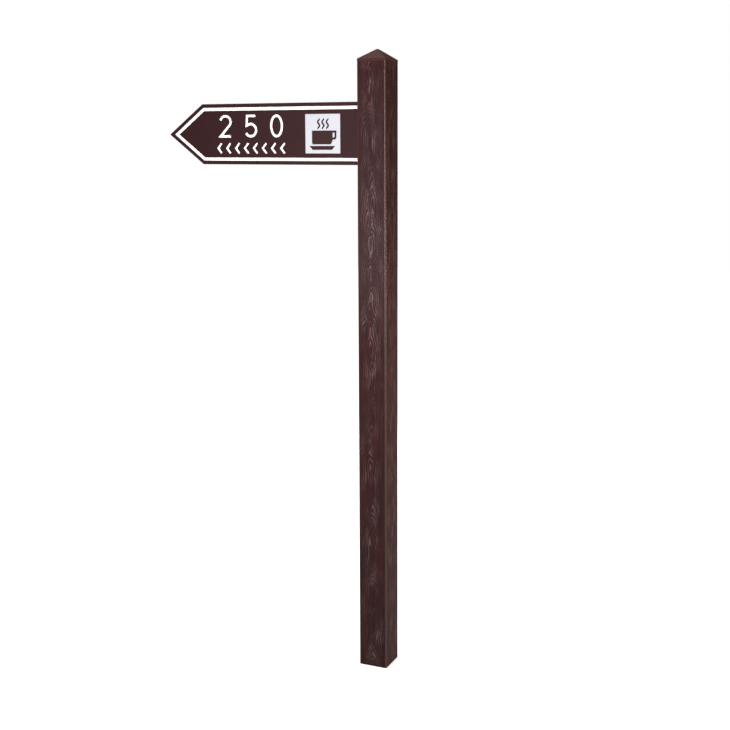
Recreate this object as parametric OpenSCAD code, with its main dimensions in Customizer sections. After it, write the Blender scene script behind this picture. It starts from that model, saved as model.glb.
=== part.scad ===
// Fingerpost sign: a hollow grained post sleeve over a steel core, with one
// arrow-shaped finger board held by a steel tongue.
// The origin is the middle of the post's foot, on the ground. +Z is up, the
// board points along -X and its front faces -Y. Sizes are in millimetres.

/* [Post] */
// Width of the square post sleeve
post_side = 100; // [94:1:120]
// Length of the sleeve, from the ground to the underside of the cap
post_length = 2000; // [1500:10:2600]
// Wall of the sleeve
post_wall = 10; // [7:0.5:12]
// Radius of the sleeve's outer long edges
post_edge_r = 5; // [2:0.5:8]
// Radius of the sleeve's inner corners
cavity_edge_r = 3; // [1:0.5:5]

/* [Cap] */
// Height of the cap's upright band above the sleeve
cap_band = 8; // [3:0.5:14]
// Rise of the pyramid above the band
cap_rise = 31.5; // [20:0.5:70]
// Width of the blunt tip of the pyramid
cap_tip = 16; // [3:1:24]
// Thickness of the cap's roof
cap_wall = 3; // [2:0.5:5]
// Depth of the skirt inside the sleeve
skirt_depth = 38; // [25:1:42]
// Wall of the skirt
skirt_wall = 2.5; // [2:0.5:4]
// Width of the slits that let the skirt's sides spring
skirt_slit = 4; // [2:0.5:8]
// Distance between the cap's two screws
cap_screw_pitch = 40; // [24:1:50]
// Depth of the cap's screws below the top of the sleeve
cap_screw_drop = 18; // [12:1:20]

/* [Steel core] */
// Width of the square steel tube
core_side = 50; // [44:1:54]
// Wall of the steel tube
core_wall = 3; // [2:0.5:5]
// Outer corner radius of the steel tube
core_edge_r = 5; // [3:0.5:8]
// Distance from the top of the sleeve down to the top of the tube
core_top_gap = 50; // [46:1:70]
// Diameter of the drain holes just above the foot plate
drain_d = 10; // [6:0.5:14]
// Thickness of the foot plate
foot_t = 8; // [5:0.5:12]
// Gap between the foot plate and the inside of the sleeve
foot_gap = 0.5; // [0.3:0.1:1.5]
// Diameter of the four ground bolt holes
foot_hole_d = 9; // [6.5:0.5:10]
// Distance from the plate's edges to the middle of each bolt hole
foot_hole_edge = 8.5; // [7:0.5:10]
// Diameter of the zinc vent in the middle of the foot plate
foot_vent_d = 20; // [10:1:30]
// Length of the stitch welds between tube and plate
weld_length = 26; // [16:1:32]
// Leg of the stitch welds
weld_leg = 4; // [2:0.5:6]
// Depth of the plug's body inside the tube
plug_depth = 18; // [10:1:30]
// Thickness of the plug's flange on top of the tube
plug_flange = 3; // [2:0.5:5]
// Wall of the plug's body
plug_wall = 2; // [1.5:0.5:3]

/* [Spacers] */
// Height of each spacer collar
spacer_h = 40; // [25:1:50]
// Wall of the collar's inner and outer skins
spacer_skin = 3; // [2:0.5:4]
// Width of the screw bosses that join the skins
spacer_boss = 10; // [8:0.5:12]
// Room above the foot plate for the ground bolts' nuts
nut_room = 52; // [40:1:80]
// Distance from the board's lower edge down to the upper spacer
spacer_below_board = 40; // [20:1:80]
// Distance from the top of the tube down to the top spacer
spacer_below_core = 10; // [4:1:16]
// Distance between the two screws of a spacer
sleeve_screw_pitch = 30; // [24:1:34]

/* [Finger board] */
// Height of the board
board_h = 200; // [170:1:240]
// Reach of the board's tip from the side of the post
board_reach = 728; // [560:1:1000]
// Length of the pointed end
point_length = 132; // [90:1:170]
// Thickness of the board over both sheets
board_t = 20; // [18:0.5:28]
// Distance from the top of the sleeve down to the board's top edge
board_drop = 122; // [110:1:300]
// Thickness of the face sheets
sheet_t = 2; // [1.5:0.5:3]
// Width of the frame rails, seen from the front
rail_w = 14; // [12:0.5:20]
// Wall of the frame rails
rail_wall = 1.6; // [1.2:0.2:2.4]
// Thickness of the tape between frame and front sheet
tape_t = 1; // [0.5:0.5:2]
// Width of the tape
tape_w = 9; // [6:0.5:10]
// Distance from the corners of the board to the ends of the tape
tape_end_gap = 22; // [20:1:40]
// Thickness of the rubber gasket against the post
seal_t = 3; // [1.5:0.5:6]
// Margin of the gasket inside the board's outline
seal_margin = 1; // [0.5:0.5:2]
// Length of each arm of the corner keys
key_arm = 28; // [24:1:32]
// Width of the arms of the corner keys
key_w = 8; // [6:0.5:9]
// Width of the centre stiffener's flanges
stiffener_w = 20; // [14:1:40]

/* [Tongue] */
// Thickness of the steel tongue
tongue_t = 6; // [4:0.5:8]
// Height of the tongue
tongue_h = 120; // [100:1:130]
// Depth of the tongue inside the board
tongue_in_board = 150; // [120:1:220]
// Distance from the middle of the post to the tongue's nose
tongue_nose = 16; // [12:1:18]
// Corner cut of the tongue and its packers
tongue_chamfer = 8; // [4:1:12]
// Inset of the packers and receivers from the tongue's height
packer_inset = 4; // [2:1:10]
// Clearance of the tongue in the slots of sleeve, core and board
slot_gap = 0.5; // [0.3:0.1:1.5]

/* [Fasteners] */
// Thread diameter of the tongue bolts
bolt_d = 8; // [6:1:8]
// Distance between the two tongue bolts
bolt_pitch = 70; // [50:1:80]
// Width across flats of bolt heads and nuts
hex_flats = 13; // [12:0.5:14]
// Height of the bolt heads
bolt_head_h = 5.3; // [4:0.1:6]
// Height of the weld nuts
nut_h = 6.5; // [5:0.5:7]
// Diameter of the washers
washer_d = 16; // [15:0.5:20]
// Thickness of the washers
washer_t = 1.6; // [1:0.2:2]
// Diameter of the socket holes in the rear of the sleeve
access_d = 22; // [20:0.5:26]
// Width of the plug's lip around a socket hole
access_lip = 2.2; // [1.5:0.1:3]
// Thickness of the plug's lip
access_lip_t = 2; // [1:0.5:3]
// Shank diameter of the countersunk screws
screw_d = 4.8; // [4:0.2:5]
// Head diameter of the countersunk screws
screw_head_d = 9; // [8.5:0.5:10]
// Diameter of the rivets through tongue and packers
rivet_d = 6; // [4:0.5:8]
// Diameter of the blind rivets in the back sheet
blind_d = 3.2; // [2.4:0.4:4]
// Greatest distance between blind rivets
blind_pitch = 150; // [80:5:200]
// Distance from the corners of the board to the first blind rivets
blind_end_gap = 38; // [37:1:48]

/* [Fits] */
// Gap between the inside of the sleeve and what slides in it
sleeve_gap = 0.3; // [0.2:0.1:0.8]
// Gap between the steel tube and what slides on or in it
core_gap = 0.2; // [0.1:0.05:0.5]
// Gap round shanks and keys
hole_gap = 0.2; // [0.1:0.05:0.4]

/* [Hidden] */
$fn = 48;

// Colours, as the photo shows them or as such pieces come
sleeve_brown = "#4b3836";
cap_brown = "#63443c";
board_brown = "#402b2a";
zinc_grey = "#a3a7a8";
bright_grey = "#c3c5c7";
nylon_black = "#222222";
tape_grey = "#55565a";

// Small overcut, so that a cut always breaks its surface
over = 1;
// Share of the hex flats that gives the circle through the corners
hex_corner = 1 / cos(30);

// Levels and faces of the post
cavity = post_side - 2 * post_wall;
post_face = post_side / 2;
cavity_face = cavity / 2;
core_face = core_side / 2;
core_bore = core_side - 2 * core_wall;
core_bore_r = max(core_edge_r - core_wall, 0.5);
core_top = post_length - core_top_gap;
foot_side = cavity - 2 * foot_gap;
foot_pitch = foot_side - 2 * foot_hole_edge;
drain_z = foot_t + weld_leg + drain_d;

// Levels of the board
board_top = post_length - board_drop;
board_bottom = board_top - board_h;
board_z = (board_top + board_bottom) / 2;

// Board planes from front to back
sheet_front = -board_t / 2;
sheet_back = board_t / 2;
frame_front = sheet_front + sheet_t + tape_t;
frame_back = sheet_back - sheet_t;

// Outline of the board in X and Z: post end, top, point and underside, corner by corner
board_end = -post_face - seal_t;
tip_x = -post_face - board_reach;
shoulder_x = tip_x + point_length;
outline = [
    [board_end, board_bottom],
    [board_end, board_top],
    [shoulder_x, board_top],
    [tip_x, board_z],
    [shoulder_x, board_bottom]
];
corners = len(outline);
END_EDGE = 0;
TOP_EDGE = 1;
UPPER_EDGE = 2;
LOWER_EDGE = 3;
BOTTOM_EDGE = 4;

// Spacers, from the foot up
lower_spacer_z = foot_t + nut_room;
upper_spacer_z = board_bottom - spacer_below_board - spacer_h;
middle_spacer_z = (lower_spacer_z + upper_spacer_z) / 2;
top_spacer_z = core_top - spacer_below_core - spacer_h;
spacer_levels = [lower_spacer_z, middle_spacer_z, upper_spacer_z, top_spacer_z];
spacer_side = cavity - 2 * sleeve_gap;
spacer_bore = core_side + 2 * core_gap;

// Screws: each ends just past the piece that it bites
screw_hole_d = screw_d + 2 * hole_gap;
sleeve_screw_length = post_face - core_face + core_wall + 3;
cap_boss = 8;
cap_screw_length = post_face - cavity_face + sleeve_gap + skirt_wall + cap_boss;
cap_screw_z = post_length - cap_screw_drop;

// Tongue: where it runs and what it passes
tongue_end = board_end - tongue_in_board;
packer_start = board_end - rail_w - 1;
packer_h = tongue_h - 2 * packer_inset;
rivet_inset = 20;
tongue_rivet_spots = [
    for (x = [packer_start - rivet_inset, tongue_end + rivet_inset], side = [-1, 1])
        [x, board_z + side * bolt_pitch / 2]
];
rivet_hole_d = rivet_d + 2 * hole_gap;
rivet_head_d = rivet_d * 1.7;

// Tongue bolts: rear washer, core, receivers, tongue and weld nut in one line
bolt_hole_d = bolt_d + 1;
bolt_spots = [board_z - bolt_pitch / 2, board_z + bolt_pitch / 2];
bolt_end = -core_face - nut_h - 1.5;
bolt_seat = core_face + washer_t;

// Centre stiffener, midway along the straight part of the board
stiffener_x = (board_end + shoulder_x) / 2;
stiffener_h = board_h - 2 * rail_w - 1;

function unit(v) = v / norm(v);

// Direction of the board's edge number i, and the normal that points into the board
function edge_dir(i) = unit(outline[(i + 1) % corners] - outline[i % corners]);
function inward(i) = [-edge_dir(i)[1], edge_dir(i)[0]];
function edge_length(i) = norm(outline[(i + 1) % corners] - outline[i % corners]);

// Corner number i of the board's outline, moved in by d from both of its edges
function inset(i, d) =
    let (a = inward(i + corners - 1), b = inward(i))
    outline[i % corners] + d * (a + b) / (1 + a * b);

// Mitred strip along edge i, between two depths from the outline
function edge_strip(i, from, to) =
    [inset(i, from), inset(i + 1, from), inset(i + 1, to), inset(i, to)];

// Point on edge i, s along it from its corner and d into the board
function edge_point(i, s, d) = outline[i % corners] + s * edge_dir(i) + d * inward(i);

// Blind rivets along the middle of each rail, no further apart than blind_pitch
function rivets_on_edge(i) =
    let (
        run = edge_length(i) - 2 * blind_end_gap,
        gaps = ceil(run / blind_pitch)
    )
    [for (k = [0 : gaps]) edge_point(i, blind_end_gap + run * k / gaps, rail_w / 2)];
stiffener_rivets = [
    for (k = [-1 : 1]) [stiffener_x + stiffener_w / 2, board_z + k * stiffener_h / 3]
];

// Square with true round corners, centred
module rounded_square(side, r) {
    square([side, side - 2 * r], center = true);
    square([side - 2 * r, side], center = true);
    for (x = [-1, 1], y = [-1, 1])
        translate([x, y] * (side / 2 - r))
            circle(r);
}

// Turns an outline drawn in X and Z into a slab between two values of Y
module slab(front, back) {
    translate([0, back, 0])
        rotate([90, 0, 0])
            linear_extrude(back - front)
                children();
}

// Puts a fastener drawn along -Z into the rear of the part, pointing along -Y
module from_rear(x, y, z) {
    translate([x, y, z])
        rotate([-90, 0, 0])
            children();
}

// Round hole along Y through everything between two values of Y
module cross_hole(d, front, back, x, z) {
    from_rear(x, back, z)
        translate([0, 0, front - back])
            cylinder(d = d, h = back - front);
}

// Countersunk screw, head flush at the origin, with a hexagon recess
module countersunk_screw(length) {
    tip = screw_d / 2;
    difference() {
        rotate_extrude()
            polygon([
                [0, 0],
                [screw_head_d / 2, 0],
                [screw_d / 2, (screw_d - screw_head_d) / 2],
                [screw_d / 2, tip - length],
                [0, -length]
            ]);
        translate([0, 0, -screw_d / 2])
            cylinder(d = screw_d * 0.7, h = screw_d, $fn = 6);
    }
}

// Hole for that screw in the sleeve: a clear shank and a cone for the head
module countersink_hole() {
    mouth = screw_head_d / 2 + hole_gap;
    rotate_extrude()
        polygon([
            [0, over],
            [mouth, over],
            [mouth, 0],
            [screw_hole_d / 2, screw_hole_d / 2 - mouth],
            [screw_hole_d / 2, -post_wall - over],
            [0, -post_wall - over]
        ]);
}

module at_sleeve_screws() {
    for (level = spacer_levels, side = [-1, 1])
        from_rear(side * sleeve_screw_pitch / 2, post_face, level + spacer_h / 2)
            children();
}

module at_cap_screws() {
    for (side = [-1, 1])
        from_rear(side * cap_screw_pitch / 2, post_face, cap_screw_z)
            children();
}

module tongue_slot(from, to) {
    gap = [0, slot_gap, slot_gap];
    size = [to - from, tongue_t, tongue_h];
    translate([from, -tongue_t / 2, board_z - tongue_h / 2] - gap)
        cube(size + 2 * gap);
}

module post_sleeve() {
    color(sleeve_brown)
        difference() {
            linear_extrude(post_length)
                difference() {
                    rounded_square(post_side, post_edge_r);
                    rounded_square(cavity, cavity_edge_r);
                }
            tongue_slot(-post_face - over, -cavity_face + over);
            at_sleeve_screws()
                countersink_hole();
            at_cap_screws()
                countersink_hole();
            for (z = bolt_spots) {
                cross_hole(access_d, cavity_face - over, post_face + over, 0, z);
                cross_hole(access_d + 2 * access_lip, post_face - access_lip_t, post_face + over, 0, z);
            }
        }
}

// Blunt pyramid over an upright band, both drawn to one outline
module pyramid(side, r, band, height, tip) {
    hull() {
        linear_extrude(band)
            rounded_square(side, r);
        translate([0, 0, height - tip / 4])
            cylinder(d1 = tip, d2 = tip / 2, h = tip / 4);
    }
}

module post_cap() {
    skirt_side = cavity - 2 * sleeve_gap;
    skirt_bore = skirt_side - 2 * skirt_wall;
    slope = 2 * (cap_rise - cap_tip / 4) / (post_side - cap_tip);
    hollow_tip = cap_tip / 2;
    hollow_band = cap_band + slope * (post_side - skirt_bore) / 2 - cap_wall * norm([1, slope]);
    hollow_rise = slope * (skirt_bore - hollow_tip) / 2 + hollow_tip / 4;
    color(cap_brown) {
        difference() {
            translate([0, 0, post_length])
                pyramid(post_side, post_edge_r, cap_band, cap_band + cap_rise, cap_tip, $fn = 32);
            translate([0, 0, post_length - over])
                pyramid(
                    skirt_bore, cavity_edge_r, over + hollow_band,
                    over + hollow_band + hollow_rise, hollow_tip, $fn = 32
                );
        }
        difference() {
            translate([0, 0, post_length - skirt_depth]) {
                linear_extrude(skirt_depth)
                    difference() {
                        rounded_square(skirt_side, cavity_edge_r);
                        rounded_square(skirt_bore, cavity_edge_r);
                    }
            }
            for (turn = [0, 90])
                rotate(turn)
                    translate([0, 0, post_length - skirt_depth])
                        cube([skirt_slit, post_side, 2 * (skirt_depth - cap_band)], center = true);
            cap_screw_holes();
        }
        difference() {
            for (side = [-1, 1])
                translate([side * cap_screw_pitch / 2 - cap_boss / 2, skirt_bore / 2 - cap_boss, cap_screw_z - cap_boss / 2])
                    cube([cap_boss, cap_boss, cap_screw_drop + cap_boss / 2]);
            cap_screw_holes();
        }
    }
}

module cap_screw_holes() {
    for (side = [-1, 1])
        cross_hole(screw_hole_d, 0, post_face, side * cap_screw_pitch / 2, cap_screw_z);
}

module cap_screws() {
    color(cap_brown)
        at_cap_screws()
            countersunk_screw(cap_screw_length);
}

module steel_core() {
    color(zinc_grey)
        difference() {
            translate([0, 0, foot_t])
                linear_extrude(core_top - foot_t)
                    difference() {
                        rounded_square(core_side, core_edge_r);
                        rounded_square(core_bore, core_bore_r);
                    }
            tongue_slot(-core_face - over, -core_bore / 2 + over);
            for (z = bolt_spots)
                cross_hole(bolt_hole_d, -core_face - over, core_face + over, 0, z);
            cross_hole(drain_d, -core_face - over, core_face + over, 0, drain_z);
            for (level = spacer_levels, side = [-1, 1])
                cross_hole(screw_hole_d, 0, core_face + over, side * sleeve_screw_pitch / 2, level + spacer_h / 2);
        }
}

module foot_plate() {
    color(zinc_grey) {
        difference() {
            linear_extrude(foot_t)
                rounded_square(foot_side, cavity_edge_r + foot_gap);
            for (x = [-1, 1], y = [-1, 1])
                translate([x * foot_pitch / 2, y * foot_pitch / 2, -over])
                    cylinder(d = foot_hole_d, h = foot_t + 2 * over);
            translate([0, 0, -over])
                cylinder(d = foot_vent_d, h = foot_t + 2 * over);
        }
        for (turn = [0 : 90 : 270])
            rotate(turn)
                stitch_weld();
    }
}

// Three-cornered bead along the foot of one side of the tube
module stitch_weld() {
    translate([core_face, weld_length / 2, foot_t])
        rotate([90, 0, 0])
            linear_extrude(weld_length)
                polygon([[0, 0], [weld_leg, 0], [0, weld_leg]]);
}

module core_end_plug() {
    body_side = core_bore - 2 * core_gap;
    color(nylon_black) {
        translate([0, 0, core_top])
            linear_extrude(plug_flange)
                rounded_square(core_side, core_edge_r);
        translate([0, 0, core_top - plug_depth])
            linear_extrude(plug_depth)
                difference() {
                    rounded_square(body_side - 1, core_bore_r);
                    rounded_square(body_side - 1 - 2 * plug_wall, core_bore_r);
                }
        for (k = [1 : 3])
            translate([0, 0, core_top - plug_depth * k / 4])
                linear_extrude(plug_wall / 2)
                    difference() {
                        rounded_square(body_side, core_bore_r);
                        rounded_square(body_side - 2 * plug_wall, core_bore_r);
                    }
    }
}

// Moulded collar: two skins joined by eight bosses and four corner ribs
module spacer(level) {
    bore_r = core_edge_r + core_gap;
    color(nylon_black)
        difference() {
            translate([0, 0, level])
                linear_extrude(spacer_h)
                    difference() {
                        union() {
                            difference() {
                                rounded_square(spacer_side, cavity_edge_r);
                                rounded_square(spacer_side - 2 * spacer_skin, cavity_edge_r);
                            }
                            rounded_square(spacer_bore + 2 * spacer_skin, bore_r + spacer_skin);
                            for (turn = [0, 90], side = [-1, 1])
                                rotate(turn)
                                    translate([side * sleeve_screw_pitch / 2, 0])
                                        square([spacer_boss, spacer_side - spacer_skin], center = true);
                            for (turn = [45, 135])
                                rotate(turn)
                                    square([spacer_skin, 1.3 * spacer_side], center = true);
                        }
                        rounded_square(spacer_bore, bore_r);
                    }
            for (side = [-1, 1])
                cross_hole(screw_hole_d, 0, post_face, side * sleeve_screw_pitch / 2, level + spacer_h / 2);
        }
}

module lower_spacer() {
    spacer(lower_spacer_z);
}

module middle_spacer() {
    spacer(middle_spacer_z);
}

module upper_spacer() {
    spacer(upper_spacer_z);
}

module top_spacer() {
    spacer(top_spacer_z);
}

module sleeve_screws() {
    color(sleeve_brown)
        at_sleeve_screws()
            countersunk_screw(sleeve_screw_length);
}

// Half block that fills the tube on one side of the tongue, with two pockets
module receiver(side) {
    block = core_bore - 2 * core_gap;
    depth = block / 2 - tongue_t / 2;
    pocket = [block / 4, depth, packer_h - 2 * tongue_chamfer];
    color(nylon_black)
        difference() {
            translate([0, 0, board_z - packer_h / 2])
                linear_extrude(packer_h)
                    intersection() {
                        rounded_square(block, core_bore_r);
                        translate([-block / 2, side > 0 ? tongue_t / 2 : -tongue_t / 2 - depth])
                            square([block, depth]);
                    }
            for (x = [-1, 1])
                translate([x * block * 0.32, side * (tongue_t / 2 + spacer_skin + depth / 2), board_z])
                    cube(pocket, center = true);
            for (z = bolt_spots)
                cross_hole(bolt_hole_d, -core_face, core_face, 0, z);
        }
}

module receiver_front() {
    receiver(-1);
}

module receiver_rear() {
    receiver(1);
}

module weld_nuts() {
    color(zinc_grey)
        for (z = bolt_spots)
            difference() {
                from_rear(0, -core_face, z)
                    translate([0, 0, -nut_h])
                        cylinder(d = hex_flats * hex_corner, h = nut_h, $fn = 6);
                cross_hole(bolt_d + 2 * hole_gap, -core_face - nut_h - over, -core_face + over, 0, z);
            }
}

module tongue_bolts() {
    color(zinc_grey)
        for (z = bolt_spots) {
            from_rear(0, bolt_seat, z)
                cylinder(d = hex_flats * hex_corner, h = bolt_head_h, $fn = 6);
            cross_hole(bolt_d, bolt_end, bolt_seat, 0, z);
        }
}

module tongue_washers() {
    color(zinc_grey)
        for (z = bolt_spots)
            difference() {
                cross_hole(washer_d, core_face, bolt_seat, 0, z);
                cross_hole(bolt_d + 2 * hole_gap, core_face - over, bolt_seat + over, 0, z);
            }
}

// Flush plug: a lip in the counterbore and a hollow stem in the socket hole
module access_plugs() {
    stem_d = access_d - 2 * hole_gap;
    stem_depth = post_wall - 1;
    color(sleeve_brown)
        for (z = bolt_spots)
            difference() {
                union() {
                    cross_hole(access_d + 2 * (access_lip - hole_gap), post_face - access_lip_t, post_face, 0, z);
                    cross_hole(stem_d, post_face - stem_depth, post_face - access_lip_t, 0, z);
                }
                cross_hole(stem_d - 2 * plug_wall, post_face - stem_depth - over, post_face - access_lip_t, 0, z);
            }
}

// Plate outline with cut corners, for the tongue and its packers
module cut_plate(from, to, height) {
    c = tongue_chamfer;
    h = height / 2;
    translate([0, board_z])
        polygon([
            [to, h - c], [to - c, h], [from + c, h], [from, h - c],
            [from, c - h], [from + c, -h], [to - c, -h], [to, c - h]
        ]);
}

module board_tongue() {
    color(zinc_grey)
        difference() {
            slab(-tongue_t / 2, tongue_t / 2)
                cut_plate(tongue_end, tongue_nose, tongue_h);
            for (z = bolt_spots)
                cross_hole(bolt_hole_d, -tongue_t, tongue_t, 0, z);
            for (spot = tongue_rivet_spots)
                cross_hole(rivet_hole_d, -tongue_t, tongue_t, spot[0], spot[1]);
        }
}

// Countersunk both ways: the same revolved form makes the rivet and, grown, its hole
module packer_rivet(grow) {
    half = board_t / 2 - sheet_t;
    head = rivet_head_d / 2 + grow;
    shank = rivet_d / 2 + grow;
    rotate_extrude()
        polygon([
            [0, half], [head, half], [shank, half - (head - shank)],
            [shank, head - shank - half], [head, -half], [0, -half]
        ]);
}

module tongue_packer(front, back) {
    color(bright_grey)
        difference() {
            slab(front, back)
                cut_plate(tongue_end, packer_start, packer_h);
            for (spot = tongue_rivet_spots)
                from_rear(spot[0], 0, spot[1])
                    packer_rivet(hole_gap);
        }
}

module tongue_packer_front() {
    tongue_packer(sheet_front + sheet_t, -tongue_t / 2);
}

module tongue_packer_rear() {
    tongue_packer(tongue_t / 2, sheet_back - sheet_t);
}

module tongue_rivets() {
    color(bright_grey)
        for (spot = tongue_rivet_spots)
            from_rear(spot[0], 0, spot[1])
                packer_rivet(0);
}

module board_seal() {
    size = [seal_t, board_t - 2 * seal_margin, board_h - 2 * seal_margin];
    color(nylon_black)
        difference() {
            translate([board_end, -size[1] / 2, board_z - size[2] / 2])
                cube(size);
            tongue_slot(board_end - over, -post_face + over);
        }
}

module front_sheet() {
    color(board_brown)
        slab(sheet_front, sheet_front + sheet_t)
            polygon(outline);
}

module back_sheet() {
    color(board_brown)
        difference() {
            slab(sheet_back - sheet_t, sheet_back)
                polygon(outline);
            at_blind_rivets()
                translate([0, 0, -board_t / 2])
                    cylinder(d = blind_d + 2 * hole_gap, h = board_t);
        }
}

module at_blind_rivets() {
    for (i = [0 : corners - 1], spot = rivets_on_edge(i))
        from_rear(spot[0], sheet_back, spot[1])
            children();
    for (spot = stiffener_rivets)
        from_rear(spot[0], sheet_back, spot[1])
            children();
}

// Channel along edge i, open towards the inside of the board and mitred at both ends
module rail(i) {
    color(board_brown)
        difference() {
            union() {
                slab(frame_front, frame_back)
                    polygon(edge_strip(i, 0, rail_wall));
                slab(frame_front, frame_front + rail_wall)
                    polygon(edge_strip(i, 0, rail_w));
                slab(frame_back - rail_wall, frame_back)
                    polygon(edge_strip(i, 0, rail_w));
            }
            for (spot = rivets_on_edge(i))
                cross_hole(blind_d + 2 * hole_gap, 0, sheet_back, spot[0], spot[1]);
        }
}

module top_rail() {
    rail(TOP_EDGE);
}

module bottom_rail() {
    rail(BOTTOM_EDGE);
}

module upper_point_rail() {
    rail(UPPER_EDGE);
}

module lower_point_rail() {
    rail(LOWER_EDGE);
}

module end_stile() {
    difference() {
        rail(END_EDGE);
        tongue_slot(board_end - rail_wall - over, board_end + over);
    }
}

// Channel on its side: a web between the sheets and a flange along each of them
module centre_stiffener() {
    color(bright_grey)
        difference() {
            translate([stiffener_x, frame_front, board_z - stiffener_h / 2])
                linear_extrude(stiffener_h)
                    difference() {
                        square([stiffener_w, frame_back - frame_front]);
                        translate([rail_wall, rail_wall])
                            square([stiffener_w, frame_back - frame_front - 2 * rail_wall]);
                    }
            for (spot = stiffener_rivets)
                cross_hole(blind_d + 2 * hole_gap, 0, sheet_back, spot[0], spot[1]);
        }
}

// Key with an arm along each of the two edges that meet at corner i
module corner_key(i) {
    near = rail_wall + hole_gap;
    before = i + corners - 1;
    heel = inset(i, near);
    slab(frame_front + rail_wall + hole_gap, frame_back - rail_wall - hole_gap)
        polygon([
            heel,
            heel + key_arm * edge_dir(i),
            heel + key_arm * edge_dir(i) + key_w * inward(i),
            inset(i, near + key_w),
            heel - key_arm * edge_dir(before) + key_w * inward(before),
            heel - key_arm * edge_dir(before)
        ]);
}

module corner_keys() {
    color(bright_grey)
        for (i = [0 : corners - 1])
            corner_key(i);
}

module bonding_tape() {
    near = (rail_w - tape_w) / 2;
    color(tape_grey) {
        slab(frame_front - tape_t, frame_front)
            for (i = [0 : corners - 1])
                polygon([
                    edge_point(i, tape_end_gap, near),
                    edge_point(i, edge_length(i) - tape_end_gap, near),
                    edge_point(i, edge_length(i) - tape_end_gap, near + tape_w),
                    edge_point(i, tape_end_gap, near + tape_w)
                ]);
        slab(frame_front - tape_t, frame_front)
            translate([stiffener_x + (stiffener_w - tape_w) / 2, board_z - stiffener_h / 2 + near])
                square([tape_w, stiffener_h - 2 * near]);
    }
}

// Blind rivet: domed head on the sheet, shank, and the bulb that grips behind the rail
module back_rivets() {
    head_r = blind_d;
    head_h = blind_d * 0.3;
    grip = sheet_t + rail_wall;
    color(board_brown)
        at_blind_rivets()
            rotate_extrude()
                polygon([
                    [0, head_h],
                    [head_r * 0.55, head_h * 0.85],
                    [head_r * 0.85, head_h * 0.5],
                    [head_r, 0],
                    [blind_d / 2, 0],
                    [blind_d / 2, -grip],
                    [blind_d * 0.75, -grip],
                    [blind_d * 0.75, -grip - blind_d * 0.6],
                    [0, -grip - blind_d * 0.8]
                ]);
}

post_sleeve();
post_cap();
cap_screws();
steel_core();
foot_plate();
core_end_plug();
lower_spacer();
middle_spacer();
upper_spacer();
top_spacer();
sleeve_screws();
receiver_front();
receiver_rear();
weld_nuts();
tongue_bolts();
tongue_washers();
access_plugs();
board_tongue();
tongue_packer_front();
tongue_packer_rear();
tongue_rivets();
board_seal();
front_sheet();
back_sheet();
top_rail();
bottom_rail();
upper_point_rail();
lower_point_rail();
end_stile();
centre_stiffener();
corner_keys();
bonding_tape();
back_rivets();
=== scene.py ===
"""Looks of the fingerpost sign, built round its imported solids.

Everything is in metres, in the solids' own frame: the origin is the middle of the
post's foot, +Z is up, the board points along -X and its front faces -Y.
"""

import logging
import math
from collections.abc import Iterable, Sequence
from dataclasses import dataclass
from enum import Enum
from typing import Any

import bmesh
import bpy
from mathutils import Matrix, Vector
from mathutils.geometry import tessellate_polygon


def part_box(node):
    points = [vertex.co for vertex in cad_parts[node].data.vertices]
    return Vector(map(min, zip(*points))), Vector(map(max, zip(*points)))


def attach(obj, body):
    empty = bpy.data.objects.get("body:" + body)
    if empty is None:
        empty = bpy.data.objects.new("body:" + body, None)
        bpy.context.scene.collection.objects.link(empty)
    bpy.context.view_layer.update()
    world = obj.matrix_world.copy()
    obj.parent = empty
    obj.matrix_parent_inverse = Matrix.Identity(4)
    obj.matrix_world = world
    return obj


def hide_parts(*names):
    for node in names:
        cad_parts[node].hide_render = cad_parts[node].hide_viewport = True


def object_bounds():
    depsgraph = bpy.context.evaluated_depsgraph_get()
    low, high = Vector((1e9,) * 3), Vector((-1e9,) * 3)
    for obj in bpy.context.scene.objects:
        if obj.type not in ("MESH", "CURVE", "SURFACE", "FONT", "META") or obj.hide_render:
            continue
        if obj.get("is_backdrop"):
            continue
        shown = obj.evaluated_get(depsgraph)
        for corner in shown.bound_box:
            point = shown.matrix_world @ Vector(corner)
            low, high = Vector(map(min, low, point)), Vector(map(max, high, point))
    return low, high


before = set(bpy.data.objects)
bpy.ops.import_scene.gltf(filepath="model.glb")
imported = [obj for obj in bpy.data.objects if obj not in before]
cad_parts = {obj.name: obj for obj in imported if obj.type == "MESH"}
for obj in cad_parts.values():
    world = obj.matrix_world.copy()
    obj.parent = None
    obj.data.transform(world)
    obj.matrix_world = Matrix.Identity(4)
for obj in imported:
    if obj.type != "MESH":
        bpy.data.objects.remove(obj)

log = logging.getLogger("fingerpost")

BODY = "root"
MM = 0.001
IMAGE_SIDE = 730
# Distance under which the loose corners of a solid's triangles are one corner
SEAM = 2e-6
FILM_THICKNESS = 0.0002

Point2 = tuple[float, float]
Point3 = tuple[float, float, float]
Piece = bpy.types.Object
Material = bpy.types.Material
Tree = bpy.types.NodeTree
Node = bpy.types.Node
Socket = bpy.types.NodeSocket

# The kinds of node that the trees use most
BUMP = "ShaderNodeBump"
JOIN_XYZ = "ShaderNodeCombineXYZ"
MATH = "ShaderNodeMath"
MIX = "ShaderNodeMix"
NOISE = "ShaderNodeTexNoise"
RANGE = "ShaderNodeMapRange"
SPLIT_XYZ = "ShaderNodeSeparateXYZ"
VECTOR_MATH = "ShaderNodeVectorMath"


def linear(hex_colour: str) -> tuple[float, ...]:
    """Turns an sRGB hex colour into the linear colour that a shader takes.

    Args:
        hex_colour: Colour as "#rrggbb".

    Returns:
        Linear red, green, blue and an alpha of one.
    """
    channels = []
    for start in (1, 3, 5):
        value = int(hex_colour[start : start + 2], 16) / 255
        channels.append(value / 12.92 if value <= 0.04045 else ((value + 0.055) / 1.055) ** 2.4)
    return (*channels, 1.0)


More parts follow.
